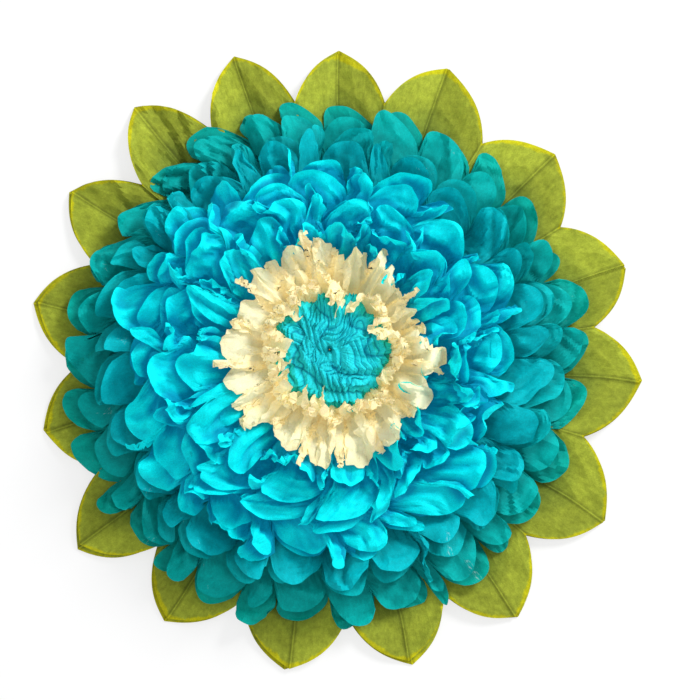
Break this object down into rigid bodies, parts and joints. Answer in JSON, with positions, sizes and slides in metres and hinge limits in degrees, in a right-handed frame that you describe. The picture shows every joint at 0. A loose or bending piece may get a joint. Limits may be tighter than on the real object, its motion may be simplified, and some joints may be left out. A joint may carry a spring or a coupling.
{
  "type": "tissue paper flower",
  "caption": "Decorative paper flower made of pleated tissue sheets, tied at the middle and fanned into a full circle, with pointed leaves, round petals, a cream ring and a crumpled centre.",
  "frame": {"origin": "the middle of the tie's flat back, level with the folds that the flower lies on", "axes": "+Z is the way the flower faces, +Y is up and +X is right when it is looked at from the front"},
  "size_m": [0.4885, 0.4971, 0.1138],
  "materials": {
    "leaf": "calendered tissue, yellow green",
    "teal": "calendered tissue, teal",
    "turquoise": "calendered tissue, turquoise",
    "cream": "calendered tissue, warm cream",
    "tuft": "calendered tissue, crumpled, blue turquoise",
    "tie": "matt paper over wire"
  },
  "bodies": {
    "root": {"leaf_sheet_1": "leaf", "leaf_sheet_2": "leaf", "teal_sheet_1": "teal", "teal_sheet_2": "teal", "teal_sheet_3": "teal", "teal_sheet_4": "teal", "turquoise_sheet_1": "turquoise", "turquoise_sheet_2": "turquoise", "turquoise_sheet_3": "turquoise", "turquoise_sheet_4": "turquoise", "turquoise_sheet_5": "turquoise", "cream_sheet_1": "cream", "cream_sheet_2": "cream", "centre_tuft": "tuft", "tie": "tie"}
  },
  "joints": []
}
